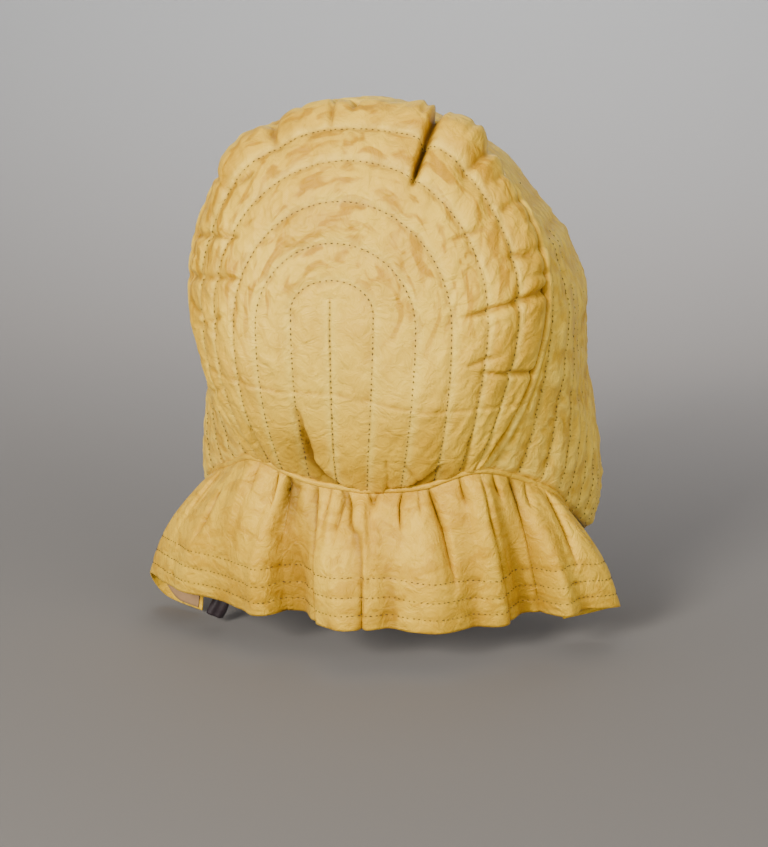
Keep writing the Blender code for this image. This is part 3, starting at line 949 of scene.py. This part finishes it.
def plain_cloth(name, base, dark, roughness):
    """Plain woven cloth with uneven colour."""
    material, shader, add, link = nodes_of(name)
    place = add("ShaderNodeTexCoord").outputs["Object"]
    tones = ramp(add, ((0.32, dark), (0.66, base)))
    link(noise_texture(add, link, place, Scale=35.0, Detail=5.0, Roughness=0.6), tones.inputs["Fac"])
    link(tones.outputs["Color"], shader.inputs["Base Color"])
    thread = noise_texture(add, link, place, Scale=700.0, Detail=3.0)
    link(relief(add, link, thread, 0.4, 0.0003), shader.inputs["Normal"])
    shader.inputs["Roughness"].default_value = roughness
    shader.inputs["Sheen Weight"].default_value = 0.04
    return material


SILK = silk_material("straw silk")
LINING = plain_cloth("tan lining", (0.33, 0.19, 0.085), (0.22, 0.125, 0.05), 0.8)
THREAD = plain_cloth("brown thread", (0.07, 0.035, 0.012), (0.03, 0.016, 0.008), 0.75)
RIBBON = plain_cloth("dark ribbon", (0.022, 0.010, 0.013), (0.009, 0.004, 0.006), 0.55)


def settle(piece, slot, *nodes):
    """Puts a piece on the hood's one body and hides the solids that it stands for. The slot is not used."""
    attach(piece, "root")
    if nodes:
        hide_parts(*nodes)


def inner_side(outer, base, normal, channel):
    """The lining side of a quilted wall, which keeps its least thickness under the deepest folds."""
    top = ((outer - base) * normal).sum(axis=-1)
    below = np.minimum(-(QUILT_THICK / 2 + 0.8 * MM * padding(channel)), top - LEAST_WALL)
    return base + normal * below[..., None]


def crown_hold(outer):
    """Where the crown's cloth is sewn down: at its stitches and round its edge."""
    hold = np.full(outer.shape[:2], QUILT_FREE)
    for arch in range(RIM_ARCH + 1):
        row = arch * CROWN_CHANNEL_STEPS
        hold[row, stitched(outer[row])] = 1
    hold[0] = hold[-1] = hold[-3] = 1
    hold[:, 0] = hold[:, -1] = 1
    return hold


def make_crown():
    start, base, normal, channel, along = shaped_crown()
    # the two sides of the centre line are a little apart in the simulation, and closed after it
    opened = start.copy()
    opened[0] = crown_ring(0.05, CROWN_LEG_STEPS, CROWN_CAP_STEPS) + normal[2] * SEWN_DEPTH
    spread = CROWN_GROWTH[0] + (CROWN_GROWTH[1] - CROWN_GROWTH[0]) * ease((channel - 1) / 4)
    hold = np.maximum(crown_hold(start), overlapped(base) > 0.2 * MM)
    outer = simulated(opened, hold, spread, QUILT_FRAMES)
    outer[0] = start[0]
    inner = inner_side(outer, base, normal, channel)
    # painted shade in the quilt's hollows, and darker along the piecing seam
    low = np.maximum(hollows(outer, normal, 5), 0.7 * bump(from_seam(base), 0.8 * MM))
    near = sewn(channel)
    marks = {
        # painted shade in the hollows, with less of it beside the stitches, and below zero a painted
        # highlight on the crests
        "valley": low * (1 - 0.6 * near * (low > 0)),
        # painted highlight beside the stitches
        "sewn": near,
        # paler in the crown's middle channels, above the neck
        "paler_middle": ease((5.2 - channel) / 4) * ease((base[..., 2] + 0.19) / 0.05),
        "stained": 0.12 + 0.88 * ease((base[..., 2] + 0.145) / 0.06) * ease((channel - 0.6) / 1.2),
        # deep painted shade in the deepest creases and under the lower edge where it overlaps the band
        "dark": np.clip(creases(base, CROWN_CREASES) / (8 * MM) - 0.45, 0, 1) + overlapped(base) / (4 * MM),
    }
    crown = wall("crown_panel", outer, inner, along, channel * CROWN_CHANNEL_WIDTH, marks, SILK, LINING)
    settle(crown, "silk", "crown_panel", "crown_base")
    normals = facing(outer, normal)
    runs = []
    for arch in range(0, RIM_ARCH):
        row = arch * CROWN_CHANNEL_STEPS
        line, ups = outer[row], normals[max(row, 1)]
        if arch == 0:
            line, ups = line[: CROWN_LEG_STEPS + 1], ups[: CROWN_LEG_STEPS + 1]
        runs.append((line, ups))
    stitch("crown_stitches", runs)


def head_lines(channel):
    """The rows and columns of the headpiece's lines of stitches."""
    found = []
    for line in range(1, int(channel.max()) + 1):
        reached = channel[0] >= line
        rows = np.array([np.interp(-line, -column, np.arange(len(column))) for column in channel.T])
        columns = np.flatnonzero(reached & (rows > 4))
        for part in np.split(columns, np.flatnonzero(np.diff(columns) > 1) + 1):
            if len(part) > 12:
                found.append((np.round(rows[part]).astype(int), part))
    return found


def make_head():
    start, base, normal, channel, along = shaped_head()
    hold = np.full(start.shape[:2], QUILT_FREE)
    lines = head_lines(channel)
    for rows, columns in lines:
        at = stitched(start[rows, columns])
        hold[rows[at], columns[at]] = 1
    hold[0] = hold[-1] = 1
    hold[:, 0] = hold[:, -1] = 1
    outer = simulated(start, hold, HEAD_GROWTH, QUILT_FRAMES)
    inner = inner_side(outer, base, normal, channel)
    low = hollows(outer, normal, 4)
    # painted highlight beside the stitches, with less painted shade there
    near = sewn(-channel) * (channel < channel.max() - 0.3)
    # valley: painted shade in the hollows and a painted highlight on the crests
    marks = {"valley": low * (1 - 0.6 * near * (low > 0)), "sewn": near, "stained": 0.45}
    head = wall("headpiece", outer, inner, along, channel * CHANNEL_WIDTH, marks, SILK, LINING)
    settle(head, "silk", "headpiece")
    normals = facing(outer, normal)
    stitch("headpiece_stitches", [(outer[r, c], normals[r, c]) for r, c in lines])


def make_piping():
    rows = np.linspace(0, 5, 240)
    line = np.concatenate([smooth(NECK_RIGHT, rows)[::-1], smooth(NECK_LEFT, rows)[1:]])
    line = evenly(line, 260)
    line = line + (noise(stack(lengths(line), 0, 0), 9 * MM, 71) * 0.35 * MM)[:, None] * np.array((0, 0.6, 1))
    out = unit(np.gradient(line, axis=0)[:, [1, 0, 2]] * (-1, 1, 0))
    line = line + out * np.sign(out[len(out) // 2, 1]) * PIPING_OUT
    curve = bpy.data.curves.new("neck_piping", "CURVE")
    curve.dimensions = "3D"
    curve.bevel_depth = PIPING_RADIUS
    curve.bevel_resolution = 3
    curve.use_fill_caps = True
    spline = curve.splines.new("POLY")
    spline.points.add(len(line) - 1)
    for point, place in zip(spline.points, line, strict=True):
        point.co = (*place, 1)
    curve.materials.append(SILK)
    piece = bpy.data.objects.new("neck_piping", curve)
    bpy.context.scene.collection.objects.link(piece)
    settle(piece, "silk", "neck_piping")


def make_curtain():
    middle, along = shaped_curtain()
    down = np.array([lengths(column) for column in middle.transpose(1, 0, 2)]).T
    from_hem = down[-1] - down
    hold = np.full(middle.shape[:2], CURTAIN_FREE)
    hold[0] = 1
    middle = simulated(middle, hold, CURTAIN_GROWTH, CURTAIN_FRAMES, bending=0.5, pressure=0.0, most=3 * MM)
    normal = outward(middle, 1)
    row_groove = sum(bump(from_hem - row, 1.2 * MM) for row in HEM_ROWS)
    wave = noise(stack(along, from_hem * 0.6, 0), 4.5 * MM, 61)
    near_rows = ease(1.4 - np.abs(from_hem - HEM_ROWS.mean()) / (20 * MM))
    lift = -0.45 * MM * row_groove + 0.28 * MM * wave * near_rows
    outer = middle + normal * (CURTAIN_CLOTH / 2 + lift)[..., None]
    inner = middle - normal * CURTAIN_CLOTH / 2
    low = hollows(outer, normal, 6)
    width, height = np.ptp(along), float(down[-1].mean())
    part = np.linspace(0, 1, len(down))[:, None]
    deep = np.array([grooves(along, share) for share in part[:, 0]])
    # deep painted shade in the gathers near the neck
    dark = np.clip(deep / (3.6 * MM) - 0.5, 0, 1) * ease((0.42 - part) / 0.35)
    shade = np.clip(deep / (6.5 * MM), 0, 1) ** 1.5 * ease(part * 8)
    shade = np.maximum(shade, np.clip(-curtain_folds(along) / (11 * MM), 0, 1) * ease(part * 3) * 0.62)
    # valley: painted shade in the curtain's hollows, grooves and broad folds
    marks = {"valley": np.maximum(low, shade), "dark": dark, "stained": 0.5}
    curtain = wall("curtain", outer, inner, along, down, marks, SILK, SILK, flip=True)
    settle(curtain, "silk", "curtain")
    runs = []
    normals = outward(outer, 1)
    columns = np.arange(len(along))
    for row in HEM_ROWS:
        at = np.array([np.interp(-row, -from_hem[:, c], np.arange(len(from_hem))) for c in columns])
        above = np.floor(at).astype(int)
        below = np.minimum(above + 1, len(outer) - 1)
        share = (at - np.floor(at))[:, None]
        line = outer[above, columns] * (1 - share) + outer[below, columns] * share
        runs.append((line, normals[np.round(at).astype(int), columns]))
    stitch("curtain_stitches", runs)
    make_lining(middle, normal, along, down)


def make_lining(middle, normal, along, down):
    columns = slice(6, -3)
    far = CURTAIN_CLOTH / 2 + 0.35 * MM
    full = (middle - normal * far)[:, columns]
    where = along[columns]
    at_end = ease((where - LINING_END_START) / LINING_END_REACH)
    foot = LINING_FOOT + (LINING_END_FOOT - LINING_FOOT) * at_end
    rows = np.linspace(0.02, 1, CURTAIN_ROWS)[:, None] * foot * CURTAIN_ROWS
    low = np.minimum(rows.astype(int), CURTAIN_ROWS - 1)
    share = (rows - low)[..., None]
    each = np.arange(len(where))[None]
    outer = full[low, each] * (1 - share) + full[low + 1, each] * share
    inward = normal[:, columns][low, each]
    drop = down[:, columns][low, each]
    inner = outer - inward * LINING_CLOTH
    lining = wall("curtain_lining", outer, inner, where, drop, {}, LINING, LINING, flip=True)
    settle(lining, "lining", "curtain_lining")
    size = (float(np.ptp(where)), float((drop[-1] - drop[0]).mean()))


def make_ribbon():
    """The end of a ribbon, sewn inside the curtain's left side, that hangs to just under the hem."""
    place = smooth(NECK_LEFT, RIBBON_ROW)
    across = unit(smooth(NECK_LEFT, RIBBON_ROW + 0.1) - smooth(NECK_LEFT, RIBBON_ROW - 0.1))
    inward = unit(np.array((across[1], -across[0], 0)))
    place = place + inward * RIBBON_INSET - (0, 0, RIBBON_TOP)
    route = np.array((place, place - np.array((0, 0, 5 * MM)), *RIBBON_FALL))
    line = smooth(route, np.linspace(0, len(route) - 1, 60))
    way = unit(np.gradient(line, axis=0))
    twist = np.linspace(0, 1, len(line)) ** 2 * RIBBON_TWIST
    side = unit(np.cross(way, inward))
    out = np.cross(side, way)
    wide = side * np.cos(twist)[:, None] + out * np.sin(twist)[:, None]
    shares = np.linspace(-0.5, 0.5, 15)
    fall = np.linspace(0, 1, len(line))[:, None]
    curl = (0.9 * np.sin(shares * 9 + fall * 5) + 1.6 * fall * np.cos(shares * 5)) * MM
    face = np.cross(way, wide)
    flat = line[:, None] + wide[:, None] * (shares * RIBBON_WIDTH)[None, :, None]
    middle = flat + face[:, None] * curl[..., None]
    normal = grid_normals(middle)
    outer, inner = middle + normal * RIBBON_CLOTH / 2, middle - normal * RIBBON_CLOTH / 2
    down = lengths(line)[:, None]
    piece = wall("ribbon_end", outer, inner, down, shares * RIBBON_WIDTH, {}, RIBBON, RIBBON, flip=True)
    settle(piece, "ribbon", "ribbon_end")
    float(lengths(line)[-1])


def make_stage():
    """A pale floor that turns up into a backdrop."""
    ahead = Vector((CAMERA_LOOK.x, CAMERA_LOOK.y, 0)).normalized()
    side = Vector((ahead.y, -ahead.x, 0))
    profile = [(FLOOR_NEAR, 0.0), (BEND_START, 0.0)]
    for angle in np.linspace(0, math.pi / 2, 14)[1:]:
        profile.append((BEND_START + BEND_RADIUS * math.sin(angle), BEND_RADIUS * (1 - math.cos(angle))))
    profile.append((BEND_START + BEND_RADIUS, BACKDROP_TOP))
    points = []
    for far, up in profile:
        for across in (-FLOOR_HALF_WIDTH, FLOOR_HALF_WIDTH):
            points.append((*(ahead * far + side * across).xy, FLOOR_Z + up))
    faces = faces_of(len(profile), 2)
    material, shader, add, link = nodes_of("pale floor")
    place = add("ShaderNodeTexCoord")
    height = add("ShaderNodeSeparateXYZ")
    link(place.outputs["Object"], height.inputs["Vector"])
    share = add("ShaderNodeMapRange")
    share.inputs["From Min"].default_value = FLOOR_Z
    share.inputs["From Max"].default_value = FLOOR_Z + TONE_HEIGHT
    link(height.outputs["Z"], share.inputs["Value"])
    tones = ramp(add, ((0.0, FLOOR_TONE), (1.0, BACKDROP_TONE)))
    link(share.outputs[0], tones.inputs["Fac"])
    link(tones.outputs["Color"], shader.inputs["Base Color"])
    shader.inputs["Roughness"].default_value = 0.9
    make_mesh("floor", np.array(points), faces, [material])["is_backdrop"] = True


def make_light(name, place, size, power, colour, target=(0, 0, -0.13), spread=180):
    data = bpy.data.lights.new(name, "AREA")
    data.spread = math.radians(spread)
    data.shape = "RECTANGLE"
    data.size, data.size_y = size
    data.energy = power
    data.color = colour
    light = bpy.data.objects.new(name, data)
    light.location = place
    light.rotation_euler = (Vector(target) - Vector(place)).to_track_quat("-Z", "Y").to_euler()
    bpy.context.scene.collection.objects.link(light)


def make_lights():
    make_light("key", (0.6, 1.78, 0.55), (0.55, 0.55), 71, (1.0, 0.97, 0.91))
    make_light("fill", (-1.5, 1.3, 0.4), (1.4, 1.4), 31, (0.98, 0.98, 0.98))
    make_light("top", (0.2, 0.0, 1.5), (1.0, 1.0), 5, (1.0, 1.0, 1.0))
    # this one lights the backdrop alone
    make_light("back", (0.2, -1.4, 1.3), (1.8, 0.8), 25, (0.99, 0.98, 1.0), (0.2, -1.45, -0.3), 90)
    world = bpy.data.worlds.new("room")
    bpy.context.scene.world = world
    world.use_nodes = True
    sky = world.node_tree.nodes["Background"]
    sky.inputs["Color"].default_value = (0.93, 0.95, 1.0, 1)
    sky.inputs["Strength"].default_value = 0.46


def make_camera():
    data = bpy.data.cameras.new("camera")
    data.sensor_width = 36
    data.lens = FOCAL_PIXELS / max(IMAGE) * data.sensor_width
    data.clip_start = 0.05
    camera = bpy.data.objects.new("camera", data)
    camera.location = CAMERA_PLACE
    camera.rotation_euler = CAMERA_LOOK.to_track_quat("-Z", "Y").to_euler()
    bpy.context.scene.collection.objects.link(camera)
    bpy.context.scene.camera = camera


make_camera()
make_stage()
make_lights()
make_crown()
make_head()
make_piping()
make_curtain()
make_ribbon()

[[list(corner) for corner in box] for box in (CAD_BOX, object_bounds())]
